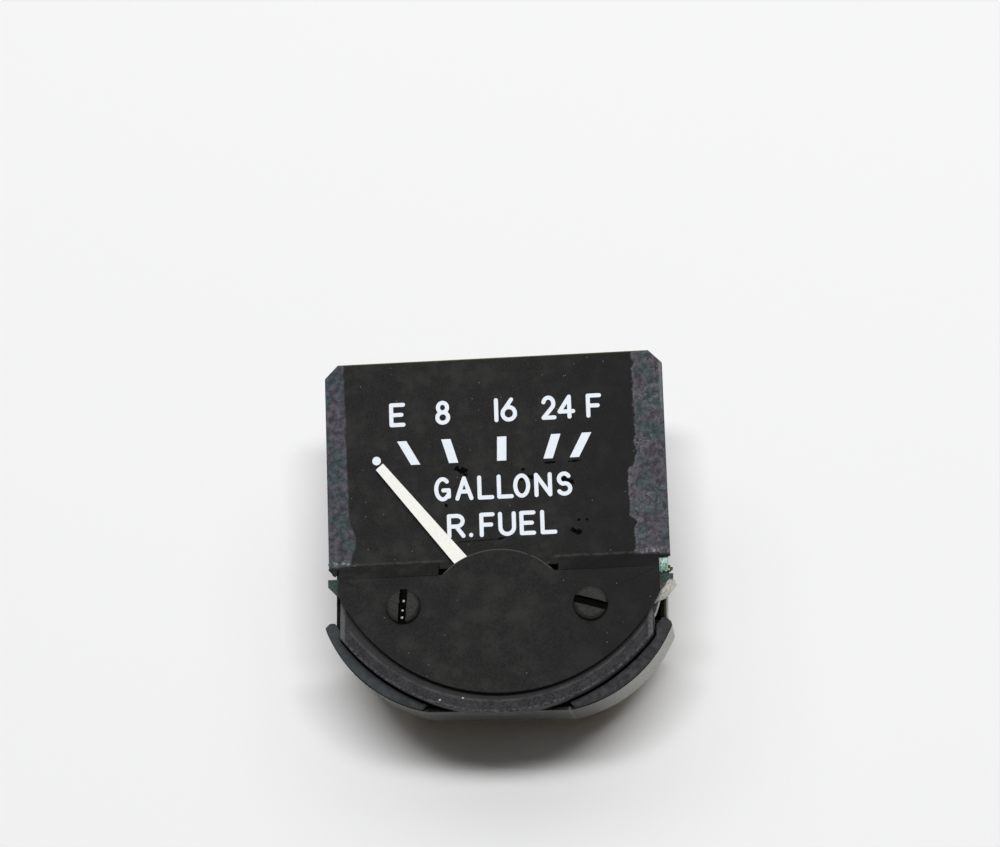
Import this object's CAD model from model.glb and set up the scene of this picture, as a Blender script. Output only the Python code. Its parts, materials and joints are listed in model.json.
"""Looks of the fuel gauge: finishes, printing, wear, floor, lights and camera.
Sizes are in millimetres in the part's own frame, and are turned into metres where meshes are made."""
import json
import math
import random

import bmesh
import bpy
from mathutils import Matrix, Vector


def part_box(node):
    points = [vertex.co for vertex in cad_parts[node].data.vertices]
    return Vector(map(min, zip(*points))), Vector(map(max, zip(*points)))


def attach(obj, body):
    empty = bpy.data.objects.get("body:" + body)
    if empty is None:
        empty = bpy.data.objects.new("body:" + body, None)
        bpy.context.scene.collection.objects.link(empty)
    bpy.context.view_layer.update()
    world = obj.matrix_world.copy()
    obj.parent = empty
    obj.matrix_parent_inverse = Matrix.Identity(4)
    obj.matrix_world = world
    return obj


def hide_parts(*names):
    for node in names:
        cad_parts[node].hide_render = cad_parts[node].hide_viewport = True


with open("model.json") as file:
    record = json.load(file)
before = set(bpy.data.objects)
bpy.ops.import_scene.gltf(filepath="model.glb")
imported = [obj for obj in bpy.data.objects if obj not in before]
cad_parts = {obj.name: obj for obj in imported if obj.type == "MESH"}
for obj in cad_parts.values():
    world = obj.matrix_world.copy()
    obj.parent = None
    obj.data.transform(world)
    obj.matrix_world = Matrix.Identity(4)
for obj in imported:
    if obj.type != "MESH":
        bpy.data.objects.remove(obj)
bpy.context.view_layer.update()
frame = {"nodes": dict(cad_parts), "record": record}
MM = 0.001


def node_box(node):
    """Lowest and highest corner of a CAD node, in millimetres."""
    low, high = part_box(node)
    return Vector(low) / MM, Vector(high) / MM


# Places taken from the frame
DIAL_Z = node_box("dial_plate")[1].z
BOARD_Z = node_box("insulator_board")[1].z
RIM_Z = node_box("rim_ring")[1].z
SCREW_Z = node_box("dial_screws")[1].z
FLOOR_Z = node_box("terminal_studs")[0].z

# The dial's own sizes
DIAL_TURN = math.radians(1.4)
SET_BACK = 2.0
UPPER_Z = DIAL_Z - SET_BACK
DIAL_HALF_W = 21.5
DIAL_TOP = 31.8
BEND_TOP_Y = 5.9
BEND_LOW_Y = 3.9
TONGUE_R = 9.8
TONGUE_CY = -2.9
RIM_CX = -0.5
RIM_CY = 11.4
RIM_R = 24.8
CASE_FLAT = 12.9

# Places of wear, in the dial's or the part's own millimetres
LIP_R = 23.25
RING_END_X = 19.6
CASE_RIM_Z = 11.5
FLAT_CORNER_X = 8.4
LEFT_BAND_X = -18.65
LEFT_BAND_LEAN = -0.014
LEFT_BULGE_Y = 8.9
RIGHT_BAND_X = 17.7
RIGHT_TONGUE_Y = (9.6, 17.6)
RIGHT_FOOT_Y = 10.0
BEND_DUST_X = 6.2
BEND_SCRAPE_X = 17.4
DENTS = ((-12.4, 3.3), (10.6, 3.9))

# Edge rounding, the dial screws' heads, and how far their slots are turned in degrees
WELD = 0.012
FLAT_ANGLE = math.radians(0.6)
HEAD_R = 2.15
HEAD_H = SCREW_Z - DIAL_Z
HEAD_CROWN = 0.12
HEAD_ROUND = 0.5
SHANK_R = 1.0
SLOT_W = 0.8
SLOT_DEPTH = 0.6
SLOT_EASE = 0.1
SLOT_TURNS = (-4.0, 75.0)

# Pale grains, in the part's frame as all the small loose things below
FLECK_SIDES = 9
SLOT_GRIT = ((-11.86, 0.48), (-12.0, -0.72), (-12.08, -1.6))
SLOT_GRIT_SIZE = 0.34
RING_FLECKS = ((-7.56, -11.76, 0.3), (-4.69, -11.56, 0.26), (13.05, -6.03, 0.28))

# The frayed tape and the scrap at the right ear
TAPE_PATH = ((18.95, 0.2, 14.5), (20.3, 0.85, 14.7), (21.85, 2.65, 14.45))
TAPE_W = 0.85
TAPE_FIBRES = 34
SCRAP_LEFT, SCRAP_LEFT_END = Vector((19.45, 4.75, 13.85)), Vector((19.35, 1.5, 14.5))
SCRAP_RIGHT, SCRAP_RIGHT_END = Vector((20.95, 4.7, 13.85)), Vector((20.75, 1.75, 14.5))
SCRAP_ROWS = 9
SCRAP_COLUMNS = 7

# The filter's torn corner, and the olive crumbs and lead beside it
TEAL_CORNER = ((19.69, 4.94), (21.06, 4.91), (21.02, 4.34), (21.16, 4.02), (20.79, 3.84),
               (20.54, 4.04), (20.29, 3.66), (19.92, 3.92), (19.66, 3.8))
TEAL_CORNER_Z = 14.7
CRUMBS = ((21.15, 4.5, 0.55), (21.45, 4.25, 0.5), (21.25, 4.0, 0.4))
LEAD_TOP, LEAD_FOOT = Vector((20.55, 1.1, 13.2)), Vector((20.5, -1.45, 11.6))
LEAD_BOW = Vector((0.06, 0.0, 0.1))
LEAD_R = 0.16
FIBRE_TOP, FIBRE_FOOT = Vector((19.95, 0.5, 14.4)), Vector((19.15, -1.7, 13.1))
FIBRE_BOW = Vector((0.08, 0.0, 0.12))
FIBRE_R = 0.13

# The burr under the upper plate's left corner
BURR = ((-21.75, 5.75), (-21.6, 5.2), (-21.7, 4.9), (-21.3, 4.5),
        (-21.1, 4.15), (-20.8, 4.05), (-20.6, 4.35), (-20.35, 5.75))
BURR_DROP = 0.35
BURR_THICK = 0.22

# The camera: its eye in the part's millimetres, the directions behind it and to its right, and the lens
CAMERA_EYE = (31.19, -50.90, 385.71)
CAMERA_BACK = (0.0817, -0.1952, 0.9774)
CAMERA_RIGHT = (0.9964, -0.0082, -0.0849)
LENS = 108.0
SENSOR = 36.0

# The world's strength as light, and as the pale backdrop that is seen or reflected
WORLD_LIGHT = 0.03
WORLD_SEEN = 0.88

# The lamps, in metres: name, place, long and short side, and watts
LAMPS = (
    ("key", (0.13, 0.34, 1.7), (0.9, 0.15), 22.4),
    ("back_box", (0.0, 0.9, 1.5), (2.2, 0.7), 10.2),
    ("faint_box", (0.2, 0.1, 1.7), (0.3, 0.4), 1.4),
)
LAMP_TARGET = (0.0, 0.01, 0.0)
FLOOR_HALF = 2.0

INSTRUMENT = "instrument"


# Shader helpers

class Surface:
    """A material with a principled shader, and short calls for its nodes."""

    def __init__(self, name, colour, roughness, metallic=0.0, specular=0.5):
        self.material = bpy.data.materials.new(name)
        self.material.use_nodes = True
        self.tree = self.material.node_tree
        self.shader = self.tree.nodes["Principled BSDF"]
        self.shader.inputs["Base Color"].default_value = (*colour, 1)
        self.shader.inputs["Roughness"].default_value = roughness
        self.shader.inputs["Metallic"].default_value = metallic
        self.shader.inputs["Specular IOR Level"].default_value = specular
        texture = self.add("ShaderNodeTexCoord")
        self.mm = self.vector("MULTIPLY", texture.outputs["Object"], (1 / MM,) * 3)

    def add(self, kind, **settings):
        node = self.tree.nodes.new(kind)
        for key, value in settings.items():
            setattr(node, key, value)
        return node

    def set(self, socket, value):
        if isinstance(value, bpy.types.NodeSocket):
            self.tree.links.new(value, socket)
        elif isinstance(value, tuple) and len(value) == 3 and socket.type == "RGBA":
            socket.default_value = (*value, 1)
        else:
            socket.default_value = value

    def math(self, operation, a, b=0.0, c=0.0):
        node = self.add("ShaderNodeMath", operation=operation)
        for socket, value in zip(node.inputs, (a, b, c)):
            self.set(socket, value)
        return node.outputs[0]

    def vector(self, operation, a, b=(0.0, 0.0, 0.0)):
        node = self.add("ShaderNodeVectorMath", operation=operation)
        self.set(node.inputs[0], a)
        self.set(node.inputs[1], b)
        return node.outputs[0]

    def split(self, vector):
        node = self.add("ShaderNodeSeparateXYZ")
        self.set(node.inputs[0], vector)
        return node.outputs

    def turned(self, vector, angle):
        node = self.add("ShaderNodeVectorRotate", rotation_type="Z_AXIS")
        self.set(node.inputs["Vector"], vector)
        self.set(node.inputs["Angle"], angle)
        return node.outputs[0]

    def step(self, value, low, high):
        """0 below low and 1 above high, smooth between; low may be above high."""
        node = self.add("ShaderNodeMapRange", interpolation_type="SMOOTHSTEP")
        flipped = low > high
        self.set(node.inputs["Value"], value)
        self.set(node.inputs["From Min"], min(low, high))
        self.set(node.inputs["From Max"], max(low, high))
        self.set(node.inputs["To Min"], 1.0 if flipped else 0.0)
        self.set(node.inputs["To Max"], 0.0 if flipped else 1.0)
        return node.outputs[0]

    def noise(self, vector, scale, detail=2.0, roughness=0.5, offset=0.0):
        node = self.add("ShaderNodeTexNoise")
        if offset:
            vector = self.vector("ADD", vector, (offset, offset, offset))
        self.set(node.inputs["Vector"], vector)
        self.set(node.inputs["Scale"], scale)
        self.set(node.inputs["Detail"], detail)
        self.set(node.inputs["Roughness"], roughness)
        return node.outputs["Fac"]

    def specks(self, vector, per_mm, size):
        """1 on small round specks, about per_mm cells along a millimetre."""
        node = self.add("ShaderNodeTexVoronoi")
        self.set(node.inputs["Vector"], vector)
        self.set(node.inputs["Scale"], per_mm)
        return self.step(node.outputs["Distance"], size, size * 0.4)

    def mix(self, factor, a, b):
        node = self.add("ShaderNodeMix", data_type="RGBA")
        self.set(node.inputs[0], factor)
        self.set(node.inputs[6], a)
        self.set(node.inputs[7], b)
        return node.outputs[2]

    def blend(self, factor, a, b):
        node = self.add("ShaderNodeMix", data_type="FLOAT")
        self.set(node.inputs[0], factor)
        self.set(node.inputs[2], a)
        self.set(node.inputs[3], b)
        return node.outputs[0]

    def near(self, value, centre, reach):
        """1 at centre, falling smoothly to 0 at reach from it."""
        return self.step(self.math("ABSOLUTE", self.math("SUBTRACT", value, centre)), reach, 0.0)

    def radius(self, x, y, cx, cy):
        """Distance of the point x, y from the point cx, cy."""
        dx = self.math("SUBTRACT", x, cx)
        dy = self.math("SUBTRACT", y, cy)
        squares = self.math("ADD", self.math("MULTIPLY", dx, dx), self.math("MULTIPLY", dy, dy))
        return self.math("SQRT", squares)

    def facing_up(self):
        """1 on faces that look along +Z, 0 on walls."""
        normal = self.add("ShaderNodeNewGeometry").outputs["Normal"]
        return self.step(self.split(normal)[2], 0.35, 0.85)

    def both(self, *masks):
        """1 only where every mask is 1; a plain number among them weakens the whole."""
        result = masks[0]
        for mask in masks[1:]:
            result = self.math("MULTIPLY", result, mask)
        return result

    def total(self, *values):
        """The sum of nodes' values and plain numbers."""
        result = values[0]
        for value in values[1:]:
            result = self.math("ADD", result, value)
        return result

    def sway(self, noise, width):
        """A noise as a shift to both sides of 0, width from end to end."""
        return self.math("MULTIPLY", self.math("SUBTRACT", noise, 0.5), width)

    def over(self, base, colour, *masks):
        """The base with a colour laid over it where every mask is 1."""
        return self.mix(self.both(*masks), base, colour)

    def bump(self, height, distance, strength=1.0):
        node = self.add("ShaderNodeBump")
        self.set(node.inputs["Height"], height)
        self.set(node.inputs["Distance"], distance * MM)
        self.set(node.inputs["Strength"], strength)
        self.tree.links.new(node.outputs[0], self.shader.inputs["Normal"])

    def colour(self, value):
        self.set(self.shader.inputs["Base Color"], value)

    def rough(self, value):
        self.set(self.shader.inputs["Roughness"], value)


# Finishes

def side_bands(s, place, x, y):
    """Masks of the left and right rubbed bands, and the distance from the right one's edge."""
    waver = s.sway(s.noise(place, 0.7, 4.0, 0.6, 5.0), 0.5)
    bulge = s.math("MULTIPLY", s.near(y, LEFT_BULGE_Y, 3.2), 0.8)
    left_line = s.total(s.math("MULTIPLY", y, LEFT_BAND_LEAN), LEFT_BAND_X, bulge, waver)
    left = s.step(s.math("SUBTRACT", x, left_line), 0.16, -0.16)

    # The right one is ragged, and a tongue of it reaches inwards below its middle
    low, high = RIGHT_TONGUE_Y
    ragged = s.sway(s.noise(place, 0.8, 5.0, 0.7, 17.0), 1.5)
    tongue = s.math("MULTIPLY", s.both(s.step(y, low, low + 1.4), s.step(y, high, high - 1.2)), -1.05)
    foot = s.math("MULTIPLY", s.step(y, RIGHT_FOOT_Y, RIGHT_FOOT_Y - 1.0), -0.5)
    right_gap = s.math("SUBTRACT", x, s.total(tongue, RIGHT_BAND_X, foot, ragged))
    return left, s.step(right_gap, -0.1, 0.14), right_gap


def rubbed_colour(s, place, scuff):
    """Bluish and mauve greys of the rubbed bands."""
    rub = s.step(scuff, 0.36, 0.66)
    cool = s.mix(rub, (0.02, 0.028, 0.032), (0.068, 0.086, 0.095))
    mauve = s.mix(rub, (0.026, 0.024, 0.031), (0.095, 0.088, 0.106))
    tint = s.noise(place, 0.42, 2.0, 0.5, 23.0)
    return s.mix(s.step(tint, 0.44, 0.56), cool, mauve)


def right_band_wear(s, paint, place, right, right_gap, upper):
    """The paler edge of the right band, its wandering scratches and its worn spots."""
    broken = s.step(s.noise(place, 1.9, 3.0, 0.6, 13.0), 0.36, 0.6)
    paint = s.over(paint, (0.14, 0.135, 0.135), s.near(right_gap, 0.12, 0.26), upper, broken, 0.5)
    wander = s.near(s.noise(place, 1.05, 5.0, 0.62, 3.0), 0.5, 0.012)
    chips = s.step(s.noise(place, 1.5, 6.0, 0.8, 37.0), 0.66, 0.72)
    patchy = s.step(s.noise(place, 0.6, 2.0, 0.5, 51.0), 0.42, 0.58)
    marks = s.math("MAXIMUM", s.both(wander, 0.7), chips)
    return s.over(paint, (0.34, 0.34, 0.36), marks, right, upper, patchy, 0.8)


def bend_wear(s, paint, place, x, y, z):
    """Dust along the upper bend and on the tongue's edge, scraped ends, and darker dents above the screws."""
    across = s.math("ABSOLUTE", x)
    dust = s.step(s.noise(place, 1.4, 4.0, 0.7, 21.0), 0.3, 0.62)
    fold = s.near(y, BEND_TOP_Y + 0.05, 0.3)
    away = s.step(across, BEND_DUST_X, BEND_DUST_X + 1.2)
    paint = s.over(paint, (0.075, 0.073, 0.07), fold, away, dust, 0.42)
    torn = s.step(s.noise(place, 2.1, 4.0, 0.7, 27.0), 0.48, 0.6)
    ends = s.step(across, BEND_SCRAPE_X, BEND_SCRAPE_X + 1.2)
    paint = s.over(paint, (0.33, 0.32, 0.31), s.near(y, BEND_TOP_Y + 0.2, 0.5), ends, torn, 0.7)
    for dent_x, dent_y in DENTS:
        paint = s.over(paint, (0.006, 0.006, 0.006), s.near(x, dent_x, 3.4), s.near(y, dent_y, 1.5), 0.6)
    arc_edge = s.near(s.radius(x, y, 0.0, TONGUE_CY), TONGUE_R - 0.05, 0.16)
    front = s.both(s.step(y, BEND_LOW_Y, BEND_LOW_Y + 0.4), s.step(z, DIAL_Z - 0.4, DIAL_Z - 0.1))
    return s.over(paint, (0.1, 0.098, 0.09), arc_edge, front, s.step(dust, 0.0, 0.5), 0.6)


def dial_paint():
    """Flat black paint, rubbed to bluish grey along both sides, with dust and scratches."""
    s = Surface("dial_paint", (0.014, 0.014, 0.014), 0.68, specular=0.09)
    place = s.turned(s.mm, -DIAL_TURN)
    x, y, z = s.split(place)
    grain = s.noise(place, 4.2, 3.0, 0.65)
    cloud = s.noise(place, 0.35, 3.0, 0.6)
    paint = s.mix(s.step(grain, 0.3, 0.72), (0.007, 0.007, 0.007), (0.0175, 0.0175, 0.017))
    paint = s.over(paint, (0.03, 0.03, 0.029), s.step(cloud, 0.42, 0.72), 0.6)
    paint = s.over(paint, (0.006, 0.006, 0.006), s.step(x, 3.0, 16.0), 0.6)

    upper = s.step(y, BEND_TOP_Y - 0.4, BEND_TOP_Y + 0.1)
    left, right, right_gap = side_bands(s, place, x, y)
    band = s.both(s.math("MAXIMUM", left, right), upper)
    scuff = s.noise(place, 1.3, 6.0, 0.7, 11.0)
    paint = s.over(paint, rubbed_colour(s, place, scuff), band, 0.95)
    paint = right_band_wear(s, paint, place, right, right_gap, upper)
    outer = s.both(s.near(x, DIAL_HALF_W - 0.25, 0.3), s.step(y, 22.0, 26.0))
    paint = s.over(paint, (0.2, 0.2, 0.19), outer, 0.5)
    paint = bend_wear(s, paint, place, x, y, z)

    # Coarse and fine specks of dust, and the olive edge at the top
    some = s.step(s.noise(place, 0.8, 2.0, 0.5, 31.0), 0.5, 0.58)
    paint = s.over(paint, (0.3, 0.3, 0.28), s.specks(place, 1.0, 0.085), some, 0.6)
    more = s.step(s.noise(place, 0.5, 3.0, 0.6, 41.0), 0.46, 0.6)
    paint = s.over(paint, (0.2, 0.2, 0.2), s.specks(place, 2.3, 0.13), more, 0.2)
    rim = s.both(s.step(y, DIAL_TOP - 0.2, DIAL_TOP - 0.06), s.facing_up())
    s.colour(s.over(paint, (0.13, 0.14, 0.05), rim, 0.6))
    s.rough(s.blend(band, 0.68, 0.56))
    s.bump(s.math("ADD", s.math("MULTIPLY", grain, 0.4), s.both(scuff, band)), 0.03, 0.5)
    return s.material


def grey_moulding():
    """Dull dark moulding of the ring: dark below the dial, a thin pale line and a rubbed outer edge."""
    s = Surface("grey_moulding", (0.03, 0.03, 0.031), 0.66, specular=0.12)
    x, y, z = s.split(s.mm)
    radius = s.radius(x, y, RIM_CX, RIM_CY)
    grain = s.noise(s.mm, 3.6, 4.0, 0.7)
    drift = s.noise(s.mm, 0.5, 3.0, 0.6, 9.0)
    base = s.mix(s.step(grain, 0.34, 0.68), (0.008, 0.008, 0.009), (0.036, 0.035, 0.039))
    base = s.over(base, (0.055, 0.052, 0.058), s.step(drift, 0.4, 0.7), 0.4)
    base = s.over(base, (0.026, 0.026, 0.026), s.step(radius, LIP_R + 0.12, LIP_R - 0.12), 0.75)
    line = s.both(s.near(radius, LIP_R + 0.1, 0.24), s.step(drift, 0.3, 0.6))
    base = s.over(base, (0.1, 0.1, 0.1), line, 0.45)
    edge = s.both(s.step(radius, RIM_R - 0.42, RIM_R - 0.12), s.step(z, RIM_Z - 0.5, RIM_Z - 0.15))
    worn = s.step(s.noise(s.mm, 2.2, 4.0, 0.7, 33.0), 0.42, 0.62)
    base = s.over(base, (0.15, 0.15, 0.145), edge, worn, 0.6)
    across = s.math("ABSOLUTE", s.math("SUBTRACT", x, RIM_CX))
    end = s.both(s.step(across, RING_END_X - 0.75, RING_END_X - 0.45), s.facing_up())
    base = s.over(base, (0.14, 0.14, 0.14), end, s.step(grain, 0.25, 0.5), 0.6)
    some = s.step(s.noise(s.mm, 0.9, 2.0, 0.5, 7.0), 0.5, 0.6)
    s.colour(s.over(base, (0.26, 0.26, 0.25), s.specks(s.mm, 1.5, 0.11), some, 0.6))
    s.bump(grain, 0.06, 0.6)
    return s.material


def black_moulding():
    """Moulded black case: satin walls, duller faces, rubbed edges, and dust on the right wall."""
    s = Surface("black_moulding", (0.018, 0.018, 0.019), 0.5, specular=0.06)
    x, y, z = s.split(s.mm)
    up = s.facing_up()
    grain = s.noise(s.mm, 3.0, 4.0, 0.6)
    base = s.mix(s.step(grain, 0.3, 0.7), (0.005, 0.005, 0.0055), (0.02, 0.02, 0.021))
    top = s.step(z, CASE_RIM_Z - 0.35, CASE_RIM_Z - 0.1)
    worn = s.step(s.noise(s.mm, 1.8, 4.0, 0.7, 8.0), 0.4, 0.62)
    base = s.over(base, (0.075, 0.072, 0.068), top, worn, 0.55)
    corner = s.both(s.near(x, FLAT_CORNER_X, 0.3), s.step(y, -CASE_FLAT + 0.8, -CASE_FLAT + 0.3))
    base = s.over(base, (0.22, 0.22, 0.2), corner, s.step(grain, 0.3, 0.55), 0.5)
    dusty = s.both(s.step(x, 8.8, 13.0), s.step(up, 0.5, 0.1), s.step(y, 4.0, -3.0))
    dust = s.mix(s.step(x, 9.0, 19.0), (0.04, 0.04, 0.037), (0.46, 0.46, 0.42))
    dust = s.over(dust, (0.04, 0.04, 0.036), s.step(grain, 0.42, 0.6), 0.45)
    s.colour(s.over(base, dust, dusty, 0.95))
    s.rough(s.blend(up, 0.3, 0.85))
    s.bump(grain, 0.03, 0.4)
    return s.material


def worn_moulding():
    """Smooth dark pads, slightly cooler towards the left and darker on their sides."""
    s = Surface("worn_moulding", (0.02, 0.02, 0.022), 0.66, specular=0.12)
    x = s.split(s.mm)[0]
    grain = s.noise(s.mm, 1.5, 5.0, 0.6, 3.0)
    base = s.mix(s.step(grain, 0.3, 0.7), (0.016, 0.017, 0.019), (0.05, 0.05, 0.053))
    base = s.over(base, (0.05, 0.062, 0.067), s.step(x, -8.0, -16.0), 0.45)
    side = s.step(s.facing_up(), 0.6, 0.2)
    s.colour(s.over(base, (0.005, 0.005, 0.005), side, 0.7))
    s.bump(grain, 0.04, 0.4)
    return s.material


def green_board():
    """Dark slate green fibre board, mottled grey."""
    s = Surface("green_board", (0.03, 0.045, 0.04), 0.7, specular=0.12)
    grain = s.noise(s.mm, 3.2, 5.0, 0.65)
    s.colour(s.mix(s.step(grain, 0.3, 0.7), (0.012, 0.028, 0.025), (0.06, 0.085, 0.078)))
    s.bump(grain, 0.08, 0.7)
    return s.material


def teal_filter():
    """Teal translucent sheet, cloudy, with whitish streaks."""
    s = Surface("teal_filter", (0.1, 0.35, 0.27), 0.4, specular=0.3)
    cloud = s.noise(s.mm, 1.6, 4.0, 0.6)
    streak = s.noise(s.vector("MULTIPLY", s.mm, (2.6, 0.8, 1.0)), 1.4, 4.0, 0.6, 6.0)
    teal = s.mix(s.step(cloud, 0.3, 0.7), (0.02, 0.16, 0.11), (0.12, 0.4, 0.29))
    s.colour(s.over(teal, (0.6, 0.72, 0.65), s.step(streak, 0.46, 0.6), 0.8))
    s.shader.inputs["Transmission Weight"].default_value = 0.15
    s.bump(cloud, 0.04, 0.4)
    return s.material


def old_tape():
    """Pale greyish tape with lengthwise fibres."""
    s = Surface("old_tape", (0.5, 0.5, 0.45), 0.75)
    fibre = s.noise(s.vector("MULTIPLY", s.mm, (6.0, 1.2, 6.0)), 2.0, 4.0, 0.6)
    s.colour(s.mix(s.step(fibre, 0.3, 0.7), (0.24, 0.24, 0.2), (0.62, 0.62, 0.57)))
    s.bump(fibre, 0.08, 0.8)
    return s.material


def screw_black():
    """Black oxide on steel, dull, and darker down in the slot."""
    s = Surface("screw_black", (0.012, 0.012, 0.012), 0.6, specular=0.14)
    z = s.split(s.mm)[2]
    grain = s.noise(s.mm, 3.6, 4.0, 0.65)
    base = s.mix(s.step(grain, 0.35, 0.7), (0.008, 0.008, 0.008), (0.028, 0.027, 0.025))
    depth = s.step(z, SCREW_Z - 0.3, SCREW_Z - 0.55)
    s.colour(s.over(base, (0.002, 0.002, 0.002), depth, 0.9))
    s.bump(grain, 0.04, 0.5)
    return s.material


def white_paint(name="white_paint", tint=(0.84, 0.83, 0.78)):
    """Flat white instrument paint with a faint unevenness."""
    s = Surface(name, tint, 0.55)
    cloud = s.noise(s.mm, 2.5, 3.0, 0.6)
    darker = tuple(c * 0.93 for c in tint)
    s.colour(s.mix(s.step(cloud, 0.3, 0.7), darker, tint))
    s.bump(cloud, 0.01, 0.3)
    return s.material


def metal(name, colour, dark, roughness):
    """Dull metal with a tarnished grain."""
    s = Surface(name, colour, roughness, metallic=1.0)
    grain = s.noise(s.mm, 5.0, 5.0, 0.65)
    stain = s.noise(s.mm, 0.7, 3.0, 0.6, 9.0)
    base = s.mix(s.step(grain, 0.3, 0.7), tuple(c * 0.85 for c in colour), colour)
    s.colour(s.over(base, dark, s.step(stain, 0.5, 0.75), 0.6))
    s.rough(s.blend(grain, roughness - 0.06, roughness + 0.1))
    s.bump(grain, 0.02, 0.4)
    return s.material


def moulded(name, colour, roughness):
    """Plain moulded plastic with a fine mottle."""
    s = Surface(name, colour, roughness)
    grain = s.noise(s.mm, 3.0, 4.0, 0.6)
    s.colour(s.mix(s.step(grain, 0.3, 0.7), tuple(c * 0.8 for c in colour), colour))
    s.bump(grain, 0.03, 0.4)
    return s.material


def wound_wire():
    """Enamelled copper wire, whose turns show as fine ridges."""
    s = Surface("wound_wire", (0.45, 0.17, 0.06), 0.38, metallic=0.8)
    x, y, _ = s.split(s.mm)
    turns = s.math("SINE", s.math("MULTIPLY", s.math("ADD", x, y), 40.0))
    s.colour(s.mix(s.step(turns, -0.6, 0.4), (0.16, 0.05, 0.02), (0.5, 0.2, 0.07)))
    s.bump(turns, 0.03, 0.7)
    return s.material


MATERIALS = {
    "dial_black": dial_paint(),
    "grey_moulding": grey_moulding(),
    "black_moulding": black_moulding(),
    "worn_moulding": worn_moulding(),
    "green_board": green_board(),
    "teal_filter": teal_filter(),
    "old_tape": old_tape(),
    "screw_black": screw_black(),
    "pointer_white": white_paint(),
    "brass": metal("dull_brass", (0.62, 0.44, 0.19), (0.2, 0.13, 0.06), 0.36),
    "steel": metal("dull_steel", (0.46, 0.46, 0.47), (0.2, 0.19, 0.18), 0.38),
    "plated": metal("tinned_plate", (0.62, 0.62, 0.59), (0.3, 0.29, 0.27), 0.34),
    "former": moulded("former_plastic", (0.5, 0.45, 0.33), 0.5),
    "copper_wire": wound_wire(),
    "magnet": metal("ground_magnet", (0.16, 0.16, 0.17), (0.07, 0.07, 0.07), 0.45),
    "resistor": moulded("resistor_lacquer", (0.26, 0.11, 0.06), 0.3),
}

SLOT_OF = {part["node"]: part["material_slot"] for part in frame["record"]["subparts"]}
for node, slot_name in SLOT_OF.items():
    body = frame["nodes"][node]
    if not body.material_slots:
        body.data.materials.append(MATERIALS[slot_name])
    for slot in body.material_slots:
        slot.material = MATERIALS[slot_name]


# Pieces

def finish_piece(name, mesh, material, body=INSTRUMENT):
    """Turns a bmesh into a piece that rides on a body."""
    data = bpy.data.meshes.new(name)
    mesh.to_mesh(data)
    mesh.free()
    piece = bpy.data.objects.new(name, data)
    bpy.context.scene.collection.objects.link(piece)
    data.materials.append(material)
    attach(piece, body)
    return piece


def smooth_shading(mesh, limit=40):
    """Smooth faces, with sharp edges where faces meet at more than limit degrees."""
    for face in mesh.faces:
        face.smooth = True
    for edge in mesh.edges:
        edge.smooth = len(edge.link_faces) == 2 and edge.calc_face_angle() < math.radians(limit)


def sharp_edges(mesh, limit=30):
    """Edges whose two faces meet at more than limit degrees."""
    return [e for e in mesh.edges if len(e.link_faces) == 2 and e.calc_face_angle() > math.radians(limit)]


def cleaned(mesh):
    """Melts each flat face's cuts together."""
    bmesh.ops.dissolve_limit(mesh, angle_limit=FLAT_ANGLE, verts=mesh.verts, edges=mesh.edges)


def eased(mesh, edges, width, segments=2, **settings):
    """Rounds edges by a width in millimetres."""
    bmesh.ops.bevel(mesh, geom=edges, offset=width * MM, offset_type="OFFSET", segments=segments,
                    profile=0.5, affect="EDGES", clamp_overlap=False, **settings)


def rounded(node, width, rounder=None, rounder_width=0.0):
    """Stands for a CAD node with its edges rounded; rounder picks the edges that are rounded more."""
    mesh = bmesh.new()
    mesh.from_mesh(frame["nodes"][node].data)
    bmesh.ops.remove_doubles(mesh, verts=mesh.verts, dist=WELD * MM)
    cleaned(mesh)
    if rounder:
        picked = [e for e in sharp_edges(mesh) if rounder(*[v.co / MM for v in e.verts])]
        eased(mesh, picked, rounder_width, segments=4)
    eased(mesh, sharp_edges(mesh), width)
    smooth_shading(mesh)
    piece = finish_piece(node + "_finished", mesh, MATERIALS[SLOT_OF[node]])
    piece.modifiers.new("even_light", "WEIGHTED_NORMAL").keep_sharp = True
    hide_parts(node)


def fold_edge(a, b):
    """The dial's upper bend, which runs across the whole sheet."""
    back = Matrix.Rotation(-DIAL_TURN, 3, "Z")
    ends = [back @ a, back @ b]
    near_bend = all(BEND_TOP_Y - 0.6 < p.y < BEND_TOP_Y + 1.2 for p in ends)
    return near_bend and abs(ends[0].y - ends[1].y) < 0.05 and abs(ends[0].x - ends[1].x) > 5


def wall_tip_edge(a, b):
    """Upright edges at the tips of the case's two curved walls."""
    upright = abs(a.z - b.z) > 2 and (a.xy - b.xy).length < 0.05
    return upright and abs(a.x - RIM_CX) > 18.5 and -4.5 < a.y < 1.0


rounded("dial_plate", 0.09, fold_edge, 0.5)
rounded("rim_ring", 0.13)
rounded("case", 0.1, wall_tip_edge, 0.26)
rounded("rim_pad_left", 0.16)
rounded("rim_pad_right", 0.16)
rounded("movement_base", 0.1)


def dome_height(r):
    """Height of a pan head above the dial at distance r from its axis, all in millimetres."""
    inner = HEAD_R - HEAD_ROUND
    crown = HEAD_CROWN * (r / HEAD_R) ** 2
    if r <= inner:
        return HEAD_H - crown
    drop = HEAD_ROUND - math.sqrt(max(0.0, HEAD_ROUND ** 2 - (r - inner) ** 2))
    return HEAD_H - crown - drop


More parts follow.
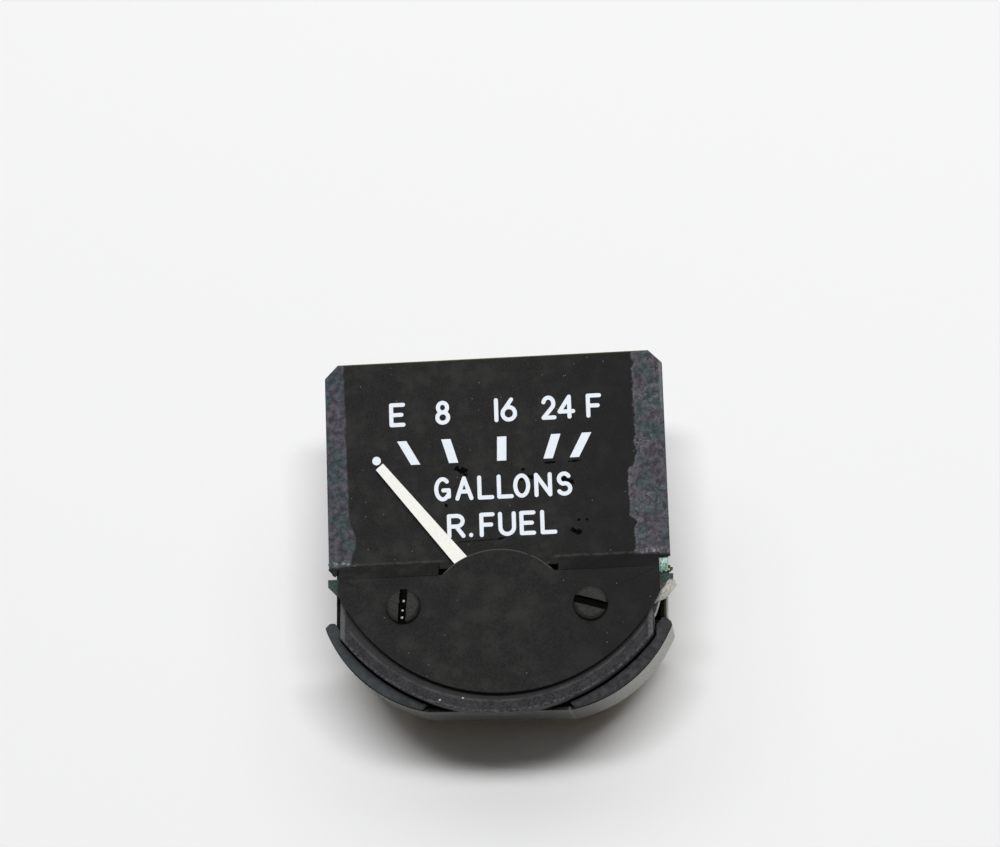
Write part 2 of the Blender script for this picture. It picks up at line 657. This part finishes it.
def lathe(mesh, profile, cx, cy, steps=64):
    """Turns a closed profile of (radius, z) points round an upright axis; it starts and ends on the axis."""
    angles = [2 * math.pi * i / steps for i in range(steps)]
    rings = []
    for r, z in profile:
        if r < 1e-6:
            rings.append([mesh.verts.new(Vector((cx, cy, z)) * MM)])
            continue
        places = [Vector((cx + r * math.cos(a), cy + r * math.sin(a), z)) for a in angles]
        rings.append([mesh.verts.new(place * MM) for place in places])
    for low, high in zip(rings, rings[1:]):
        for i in range(steps):
            j = (i + 1) % steps
            corners = [low[i % len(low)], low[j % len(low)], high[j % len(high)], high[i % len(high)]]
            unique = [v for k, v in enumerate(corners) if v not in corners[:k]]
            mesh.faces.new(unique)


def screw_profile(foot_z):
    """Half outline of a dial screw, from the top of its crown to its foot."""
    crown = [(HEAD_R * i / 12, DIAL_Z + dome_height(HEAD_R * i / 12)) for i in range(1, 10)]
    turns = [math.radians(15 * i) for i in range(1, 7)]
    radii = [HEAD_R - HEAD_ROUND + HEAD_ROUND * math.sin(a) for a in turns]
    shoulder = [(r, DIAL_Z + dome_height(r)) for r in radii if r > crown[-1][0]]
    shank = [(HEAD_R, DIAL_Z), (SHANK_R, DIAL_Z), (SHANK_R, foot_z), (0, foot_z)]
    return [(0, DIAL_Z + HEAD_H)] + crown + shoulder + shank


def slot_knife(centres):
    """Blocks in the place of the slots, to cut them out of the heads."""
    cutter = bmesh.new()
    for (cx, cy), turn in zip(centres, SLOT_TURNS):
        block = bmesh.ops.create_cube(cutter, size=1.0)["verts"]
        bmesh.ops.scale(cutter, verts=block, vec=Vector((SLOT_W, 2 * HEAD_R + 1, 2 * SLOT_DEPTH)) * MM)
        spin = Matrix.Rotation(math.radians(turn), 3, "Z")
        bmesh.ops.rotate(cutter, verts=block, cent=(0, 0, 0), matrix=spin)
        bmesh.ops.translate(cutter, verts=block, vec=Vector((cx, cy, SCREW_Z)) * MM)
    data = bpy.data.meshes.new("slot_cutter")
    cutter.to_mesh(data)
    cutter.free()
    knife = bpy.data.objects.new("slot_cutter", data)
    bpy.context.scene.collection.objects.link(knife)
    return knife


def cut_slots(piece, knife):
    """Cuts the slots and bakes the cut into the piece's mesh."""
    cut = piece.modifiers.new("slots", "BOOLEAN")
    cut.operation = "DIFFERENCE"
    cut.solver = "EXACT"
    cut.object = knife
    graph = bpy.context.evaluated_depsgraph_get()
    data = bpy.data.meshes.new_from_object(piece.evaluated_get(graph))
    piece.modifiers.clear()
    piece.data = data
    bpy.data.objects.remove(knife)


def in_slot(face, centres):
    """Whether a face is a wall or the floor of a slot."""
    middle = face.calc_center_median() / MM
    if min((middle.xy - Vector(c)).length for c in centres) >= HEAD_R - 0.05:
        return False
    floor_z = SCREW_Z - SLOT_DEPTH
    wall = abs(face.normal.z) < 0.5
    return floor_z - 0.05 < middle.z < SCREW_Z - 0.15 and (wall or middle.z < floor_z + 0.05)


def slot_dirt():
    """The dirt inside the slots."""
    s = Surface("slot_dirt", (0.002, 0.002, 0.002), 0.9, specular=0.0)
    s.colour(s.mix(s.noise(s.mm, 5.0, 3.0), (0.001, 0.001, 0.001), (0.006, 0.006, 0.005)))
    return s.material


def dial_screws():
    """Domed slotted heads with their shanks, in place of the plain ones; the slots are dirty inside."""
    low, high = node_box("dial_screws")
    middle_y = (low.y + high.y) / 2
    centres = ((low.x + HEAD_R, middle_y), (high.x - HEAD_R, middle_y))
    mesh = bmesh.new()
    for cx, cy in centres:
        lathe(mesh, screw_profile(low.z), cx, cy)
    bmesh.ops.recalc_face_normals(mesh, faces=mesh.faces)
    knife = slot_knife(centres)
    piece = finish_piece("dial_screws_finished", mesh, MATERIALS["screw_black"])
    cut_slots(piece, knife)
    mesh = bmesh.new()
    mesh.from_mesh(piece.data)
    cleaned(mesh)
    edge_low = SCREW_Z - SLOT_DEPTH - 0.1
    rim = [e for e in sharp_edges(mesh, 50) if min(v.co.z for v in e.verts) / MM > edge_low]
    eased(mesh, rim, SLOT_EASE, material=1)
    smooth_shading(mesh)
    for face in mesh.faces:
        if in_slot(face, centres):
            face.material_index = 1
    piece.data.materials.append(slot_dirt())
    mesh.to_mesh(piece.data)
    mesh.free()
    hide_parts("dial_screws")


def fleck(mesh, x, y, z, size, chance):
    """A small uneven flat grain."""
    ring = []
    for i in range(FLECK_SIDES):
        a = 2 * math.pi * i / FLECK_SIDES
        r = size / 2 * chance.uniform(0.7, 1.15)
        ring.append(mesh.verts.new(Vector((x + r * math.cos(a), y + r * math.sin(a), z)) * MM))
    top = mesh.verts.new(Vector((x, y, z + size * 0.3)) * MM)
    for i in range(FLECK_SIDES):
        mesh.faces.new((ring[i], ring[(i + 1) % FLECK_SIDES], top))
    mesh.faces.new(list(reversed(ring)))


def flecks():
    """Pale grains caught in the left screw's slot and on the ring."""
    mesh = bmesh.new()
    chance = random.Random(8)
    for x, y in SLOT_GRIT:
        fleck(mesh, x, y, SCREW_Z - SLOT_DEPTH, SLOT_GRIT_SIZE, chance)
    for x, y, size in RING_FLECKS:
        fleck(mesh, x, y, RIM_Z, size, chance)
    grit = Surface("pale_grit", (0.5, 0.5, 0.47), 0.8, specular=0.1)
    grit.colour(grit.mix(grit.noise(grit.mm, 8.0, 2.0), (0.34, 0.34, 0.3), (0.66, 0.66, 0.62)))
    finish_piece("pale_flecks", mesh, grit.material)


def strand(mesh, points, radius, sides=6):
    """A thin closed tube along points given in millimetres, thinner at its ends."""
    angles = [2 * math.pi * k / sides for k in range(sides)]
    last = len(points) - 1
    rings = []
    for i, point in enumerate(points):
        along = (points[min(i + 1, last)] - points[max(i - 1, 0)]).normalized()
        side = along.cross(Vector((0.3, 0.2, 1.0))).normalized()
        up = side.cross(along)
        thin = radius * (0.45 if i in (0, last) else 1.0)
        places = [point + (side * math.cos(a) + up * math.sin(a)) * thin for a in angles]
        rings.append([mesh.verts.new(place * MM) for place in places])
    for low, high in zip(rings, rings[1:]):
        for k in range(sides):
            mesh.faces.new((low[k], low[(k + 1) % sides], high[(k + 1) % sides], high[k]))
    mesh.faces.new(list(reversed(rings[0])))
    mesh.faces.new(rings[-1])


def curve_between(start, end, bow, steps=8):
    """Points from start to end, bowed sideways and upwards by the vector bow."""
    return [start.lerp(end, i / steps) + bow * math.sin(math.pi * i / steps) for i in range(steps + 1)]


def frayed_tape():
    """The pale band of tape on the right ear, with loose fibres along both edges."""
    mesh = bmesh.new()
    chance = random.Random(21)
    start, middle, end = (Vector(p) for p in TAPE_PATH)
    for i in range(TAPE_FIBRES):
        across = (i / (TAPE_FIBRES - 1) - 0.5) * TAPE_W
        offset = Vector((across * 0.66, across * -0.75, 0.0))
        wobble = Vector((chance.uniform(-0.1, 0.1), chance.uniform(-0.1, 0.1), chance.uniform(0.0, 0.22)))
        first = start + offset * 0.7 + Vector((chance.uniform(-0.25, 0.1), chance.uniform(-0.2, 0.1), 0))
        last = end + offset + Vector((chance.uniform(-0.35, 0.12), chance.uniform(-0.35, 0.15), 0))
        hinge = middle + offset + wobble
        points = [first.lerp(hinge, t / 4) for t in range(4)] + [hinge.lerp(last, t / 5) for t in range(6)]
        strand(mesh, points, chance.uniform(0.05, 0.085))
    finish_piece("frayed_tape_fibres", mesh, MATERIALS["old_tape"])


def sheet_piece(name, mesh, material):
    """A piece of a mesh's open faces laid double; the two layers lie together, without thickness."""
    bmesh.ops.solidify(mesh, geom=mesh.faces[:], thickness=0.0)
    bmesh.ops.recalc_face_normals(mesh, faces=mesh.faces)
    finish_piece(name, mesh, material)


def torn_insulation(chance):
    """A crumpled grey brown scrap between the filter and the board's ear."""
    paper = Surface("torn_paper", (0.12, 0.11, 0.09), 0.8, specular=0.1)
    blotch = paper.noise(paper.mm, 1.6, 5.0, 0.7)
    paper.colour(paper.mix(paper.step(blotch, 0.34, 0.66), (0.03, 0.032, 0.028), (0.24, 0.235, 0.2)))
    paper.bump(blotch, 0.1, 0.8)
    mesh = bmesh.new()
    grid = []
    for i in range(SCRAP_ROWS):
        t = i / (SCRAP_ROWS - 1)
        left, right = SCRAP_LEFT.lerp(SCRAP_LEFT_END, t), SCRAP_RIGHT.lerp(SCRAP_RIGHT_END, t)
        right = right + Vector((0.35 * math.sin(math.pi * t) + chance.uniform(-0.12, 0.12), 0, 0))
        row = []
        for j in range(SCRAP_COLUMNS):
            crumple = Vector((0, chance.uniform(-0.06, 0.06), chance.uniform(-0.1, 0.1)))
            row.append(mesh.verts.new((left.lerp(right, j / (SCRAP_COLUMNS - 1)) + crumple) * MM))
        grid.append(row)
    for here, after in zip(grid, grid[1:]):
        for j in range(SCRAP_COLUMNS - 1):
            mesh.faces.new((here[j], after[j], after[j + 1], here[j + 1]))
    sheet_piece("torn_insulation", mesh, paper.material)


def torn_filter_corner(chance):
    """The ragged corner of the light filter beside the scrap."""
    mesh = bmesh.new()
    places = [Vector((x, y, TEAL_CORNER_Z + chance.uniform(-0.05, 0.05))) for x, y in TEAL_CORNER]
    mesh.faces.new([mesh.verts.new(place * MM) for place in places])
    sheet_piece("torn_filter_corner", mesh, MATERIALS["teal_filter"])


def olive_lead(chance):
    """Crumbs of olive varnish, and a short lead of the same colour that hangs from the ear."""
    olive = Surface("olive_varnish", (0.05, 0.055, 0.02), 0.5, specular=0.3)
    olive.colour(olive.mix(olive.noise(olive.mm, 3.0, 3.0), (0.02, 0.024, 0.01), (0.09, 0.095, 0.035)))
    mesh = bmesh.new()
    for x, y, size in CRUMBS:
        fleck(mesh, x, y, BOARD_Z + 0.05, size, chance)
    strand(mesh, curve_between(LEAD_TOP, LEAD_FOOT, LEAD_BOW), LEAD_R, 8)
    finish_piece("olive_lead", mesh, olive.material)


def pale_fibre():
    """A single loose fibre of the tape."""
    mesh = bmesh.new()
    strand(mesh, curve_between(FIBRE_TOP, FIBRE_FOOT, FIBRE_BOW), FIBRE_R, 8)
    finish_piece("pale_fibre", mesh, MATERIALS["old_tape"])


def torn_ear():
    """What is left of board, filter and tape at the right ear."""
    chance = random.Random(3)
    torn_insulation(chance)
    torn_filter_corner(chance)
    olive_lead(chance)
    pale_fibre()


def bent_burr():
    """A small torn flap of the dial's sheet under the upper plate's left corner."""
    mesh = bmesh.new()
    chance = random.Random(5)
    places = [Vector((x, y, UPPER_Z - BURR_DROP + chance.uniform(-0.05, 0.1))) for x, y in BURR]
    low = [mesh.verts.new(place * MM) for place in places]
    high = [mesh.verts.new(v.co + Vector((0, 0, BURR_THICK)) * MM) for v in low]
    mesh.faces.new(list(reversed(low)))
    mesh.faces.new(high)
    for i in range(len(low)):
        j = (i + 1) % len(low)
        mesh.faces.new((low[i], low[j], high[j], high[i]))
    burr = Surface("burr_paint", (0.008, 0.008, 0.008), 0.7, specular=0.08)
    burr.colour(burr.mix(burr.noise(burr.mm, 3.0, 3.0), (0.003, 0.003, 0.003), (0.03, 0.03, 0.03)))
    finish_piece("bent_burr", mesh, burr.material)


dial_screws()
bent_burr()
flecks()
frayed_tape()
torn_ear()


# Printing on the dial

STROKE = 0.52
CAP = 3.1
PRINT_RISE = 0.015
STROKE_RISE = 0.0003
PRINT_SHIFT = Vector((0.08, -0.08, 0.0))
PRINT_WHITE = white_paint("print_white", (0.74, 0.79, 0.86))


def arc(cx, cy, rx, ry, start, end, steps=20):
    """Points of an elliptical arc; angles in degrees."""
    angles = [math.radians(start + (end - start) * i / steps) for i in range(steps + 1)]
    return [(cx + rx * math.cos(a), cy + ry * math.sin(a)) for a in angles]


# Each character's strokes in a box 1 wide and 1 high, and its width in millimetres with the stroke
GLYPHS = {
    "E": (2.05, [[(1, 0), (0, 0), (0, 1), (1, 1)], [(0, 0.5), (0.85, 0.5)]]),
    "F": (1.95, [[(0, 0), (0, 1), (1, 1)], [(0, 0.5), (0.85, 0.5)]]),
    "L": (2.1, [[(0, 1), (0, 0), (1, 0)]]),
    "A": (2.3, [[(0, 0), (0.5, 1), (1, 0)], [(0.17, 0.34), (0.83, 0.34)]]),
    "N": (2.25, [[(0, 0), (0, 1), (1, 0), (1, 1)]]),
    "O": (2.15, [arc(0.5, 0.5, 0.5, 0.5, 90, 450, 32)]),
    "G": (2.15, [arc(0.5, 0.5, 0.5, 0.5, 48, 318, 28) + [(0.97, 0.12), (0.97, 0.44), (0.55, 0.44)]]),
    "S": (2.0, [arc(0.5, 0.745, 0.44, 0.255, 30, 262, 18) + arc(0.5, 0.26, 0.5, 0.26, 82, -150, 18)]),
    "U": (2.25, [[(0, 1), (0, 0.34)] + arc(0.5, 0.34, 0.5, 0.34, 180, 360, 18) + [(1, 0.34), (1, 1)]]),
    "R": (2.3, [[(0, 0), (0, 1), (0.55, 1)] + arc(0.55, 0.74, 0.42, 0.26, 90, -90, 14)
                + [(0.55, 0.48), (0, 0.48)], [(0.5, 0.48), (1, 0)]]),
    ".": (0.62, [[(0.5, 0.02), (0.5, 0.03)]]),
    "1": (0.52, [[(0.5, 0), (0.5, 1)]]),
    "2": (1.9, [arc(0.48, 0.7, 0.46, 0.3, 165, -35, 18) + [(0, 0), (1, 0)]]),
    "4": (2.25, [[(0.72, 0), (0.72, 1), (0, 0.27), (1, 0.27)]]),
    "6": (2.1, [[(0.72, 1), (0.12, 0.5)] + arc(0.5, 0.31, 0.5, 0.31, 142, 502, 30)]),
    "8": (1.9, [arc(0.5, 0.76, 0.42, 0.24, -90, 270, 26), arc(0.5, 0.26, 0.5, 0.26, 90, 450, 28)]),
}

# Scale figures, the unit and the tank's name, with the middle of each character
SCALE_ROW_Y = 25.05
SCALE_ROW = [("E", -12.4), ("8", -6.6), ("1", 0.22), ("6", 1.81), ("2", 6.89), ("4", 9.11), ("F", 12.6)]
UNIT_ROW_Y = 15.2
UNIT_ROW = [("G", -6.88), ("A", -4.16), ("L", -1.43), ("L", 1.04), ("O", 3.13), ("N", 5.84), ("S", 8.5)]
TANK_ROW_Y = 10.42
TANK_ROW = [("R", -5.31), (".", -3.45), ("F", -1.39), ("U", 1.13), ("E", 3.72), ("L", 6.37)]

TICK_Y = (18.52, 21.62)
TICK_W = 1.18
TICKS = [(-11.07, -28.9), (-5.84, -16.4), (0.76, 1.9), (7.13, 19.3), (10.74, 28.2)]
DOT = (-15.19, 19.23, 0.55)


def on_dial(x, y, z):
    """A point of the dial's own layout, in metres in the part's frame."""
    turned = Matrix.Rotation(DIAL_TURN, 3, "Z") @ Vector((x, y, z))
    return (turned + PRINT_SHIFT) * MM


def ribbon(mesh, points, width, z):
    """A flat stroke with round ends and joints along points."""
    half = width / 2
    for (ax, ay), (bx, by) in zip(points, points[1:]):
        length = math.hypot(bx - ax, by - ay)
        if length < 1e-6:
            continue
        nx, ny = -(by - ay) / length * half, (bx - ax) / length * half
        corners = [(ax + nx, ay + ny), (ax - nx, ay - ny), (bx - nx, by - ny), (bx + nx, by + ny)]
        mesh.faces.new([mesh.verts.new(on_dial(px, py, z)) for px, py in corners])
        z += STROKE_RISE
    for cx, cy in points:
        disc(mesh, cx, cy, half, z)
        z += STROKE_RISE
    return z


def disc(mesh, cx, cy, radius, z, steps=16):
    """A flat round spot on the dial."""
    angles = [2 * math.pi * i / steps for i in range(steps)]
    ring = [on_dial(cx + radius * math.cos(a), cy + radius * math.sin(a), z) for a in angles]
    mesh.faces.new([mesh.verts.new(place) for place in ring])


def print_row(name, row, y):
    """One row of characters as a thin layer of paint."""
    mesh = bmesh.new()
    for character, x in row:
        width, strokes = GLYPHS[character]
        wide, high = width - STROKE, CAP - STROKE
        z = UPPER_Z + PRINT_RISE
        for stroke in strokes:
            points = [(x + (px - 0.5) * wide, y + (py - 0.5) * high) for px, py in stroke]
            z = ribbon(mesh, points, STROKE, z)
    finish_piece(name, mesh, PRINT_WHITE)


def print_ticks():
    """Scale marks with level ends and radial sides, and the round mark for off."""
    mesh = bmesh.new()
    low, high = TICK_Y
    z = UPPER_Z + PRINT_RISE
    for x, angle in TICKS:
        lean = math.tan(math.radians(angle)) * (high - low) / 2
        corners = [(x - lean - TICK_W / 2, low), (x - lean + TICK_W / 2, low),
                   (x + lean + TICK_W / 2, high), (x + lean - TICK_W / 2, high)]
        mesh.faces.new([mesh.verts.new(on_dial(px, py, z)) for px, py in corners])
    disc(mesh, *DOT, z, steps=32)
    finish_piece("scale_ticks", mesh, PRINT_WHITE)


print_row("scale_figures", SCALE_ROW, SCALE_ROW_Y)
print_row("unit_name", UNIT_ROW, UNIT_ROW_Y)
print_row("tank_name", TANK_ROW, TANK_ROW_Y)
print_ticks()


# Black touching up round the printing: place, length, height and the angle in degrees

DABS = [(-4.99, 17.78, 0.76, 0.71, -20), (-4.23, 17.46, 1.27, 0.9, 5), (-3.93, 16.93, 0.38, 0.64, 80),
        (3.01, 16.08, 0.88, 0.64, 10), (3.37, 17.28, 0.51, 0.51, 60), (4.85, 16.19, 2.02, 0.51, -8),
        (8.74, 15.55, 2.27, 0.89, -20), (9.38, 9.27, 0.75, 0.63, -30), (10.06, 8.99, 1.13, 0.76, 0),
        (10.19, 10.55, 0.45, 0.35, 0), (11.22, 10.5, 0.35, 0.4, 0), (6.83, 18.0, 1.6, 0.3, 2),
        (9.84, 18.05, 1.7, 0.25, 2), (-6.5, 13.09, 0.4, 0.6, 10), (0.29, 8.59, 1.01, 0.31, 8),
        (-2.5, 8.45, 5.4, 0.12, 2)]
DAB_SIDES = 26
DAB_RISE = 0.006


def touch_ups():
    """Small uneven spots of blacker paint."""
    black = Surface("touch_up_black", (0.001, 0.001, 0.001), 0.8, specular=0.0)
    black.colour(black.mix(black.noise(black.mm, 4.0, 3.0), (0.0005, 0.0005, 0.0006), (0.006, 0.006, 0.006)))
    mesh = bmesh.new()
    chance = random.Random(4)
    for x, y, length, height, angle in DABS:
        cos_turn, sin_turn = math.cos(math.radians(angle)), math.sin(math.radians(angle))
        ring = []
        for i in range(DAB_SIDES):
            a = 2 * math.pi * i / DAB_SIDES
            grow = 0.5 * chance.uniform(0.66, 1.2)
            px, py = length * grow * math.cos(a), height * grow * math.sin(a)
            ring.append((x + px * cos_turn - py * sin_turn, y + px * sin_turn + py * cos_turn))
        mesh.faces.new([mesh.verts.new(on_dial(px, py, UPPER_Z + DAB_RISE)) for px, py in ring])
    finish_piece("touch_up_spots", mesh, black.material)


touch_ups()


# Stage

def floor():
    """Plain pale table under the stud tips."""
    s = Surface("floor_paper", (0.9, 0.902, 0.905), 0.95, specular=0.0)
    mesh = bmesh.new()
    corners = ((-1, -1), (1, -1), (1, 1), (-1, 1))
    mesh.faces.new([mesh.verts.new((x * FLOOR_HALF, y * FLOOR_HALF, FLOOR_Z * MM)) for x, y in corners])
    data = bpy.data.meshes.new("floor")
    mesh.to_mesh(data)
    mesh.free()
    table = bpy.data.objects.new("floor", data)
    bpy.context.scene.collection.objects.link(table)
    data.materials.append(s.material)


def area_light(name, place, size, watts):
    """A rectangular lamp whose long side runs along X, and which faces the object."""
    light = bpy.data.lights.new(name, "AREA")
    light.shape = "RECTANGLE"
    light.size, light.size_y = size
    light.energy = watts
    lamp = bpy.data.objects.new(name, light)
    back = (Vector(place) - Vector(LAMP_TARGET)).normalized()
    right = (Vector((1, 0, 0)) - back * back.x).normalized()
    turn = Matrix((right, back.cross(right), back)).transposed().to_4x4()
    turn.translation = Vector(place)
    lamp.matrix_world = turn
    bpy.context.scene.collection.objects.link(lamp)


def lights():
    """A long key overhead that throws the shadow below the flat, a soft box behind it and a faint one."""
    for lamp in LAMPS:
        area_light(*lamp)


def either(tree, first, second):
    """The larger of two values in a node tree."""
    node = tree.nodes.new("ShaderNodeMath")
    node.operation = "MAXIMUM"
    tree.links.new(first, node.inputs[0])
    tree.links.new(second, node.inputs[1])
    return node.outputs[0]


def backdrop():
    """A pale surround that is seen and reflected, but gives hardly any light."""
    world = bpy.data.worlds.new("studio")
    world.use_nodes = True
    tree = world.node_tree
    background = tree.nodes["Background"]
    background.inputs["Color"].default_value = (0.98, 0.99, 0.97, 1)
    ray = tree.nodes.new("ShaderNodeLightPath").outputs
    seen = either(tree, either(tree, ray["Is Camera Ray"], ray["Is Glossy Ray"]), ray["Is Transmission Ray"])
    strength = tree.nodes.new("ShaderNodeMapRange")
    strength.inputs["To Min"].default_value = WORLD_LIGHT
    strength.inputs["To Max"].default_value = WORLD_SEEN
    tree.links.new(seen, strength.inputs["Value"])
    tree.links.new(strength.outputs[0], background.inputs["Strength"])
    bpy.context.scene.world = world


def camera():
    """The camera that was fitted to the photograph."""
    lens = bpy.data.cameras.new("camera")
    lens.lens = LENS
    lens.sensor_width = SENSOR
    lens.sensor_fit = "HORIZONTAL"
    lens.clip_start = 0.01
    back = Vector(CAMERA_BACK).normalized()
    right = Vector(CAMERA_RIGHT)
    right = (right - back * right.dot(back)).normalized()
    up = back.cross(right)
    place = Matrix((right, up, back)).transposed().to_4x4()
    place.translation = Vector(CAMERA_EYE) * MM
    eye = bpy.data.objects.new("camera", lens)
    eye.matrix_world = place
    bpy.context.scene.collection.objects.link(eye)
    bpy.context.scene.camera = eye


floor()
lights()
backdrop()
camera()
bpy.context.scene.view_settings.view_transform = "Standard"
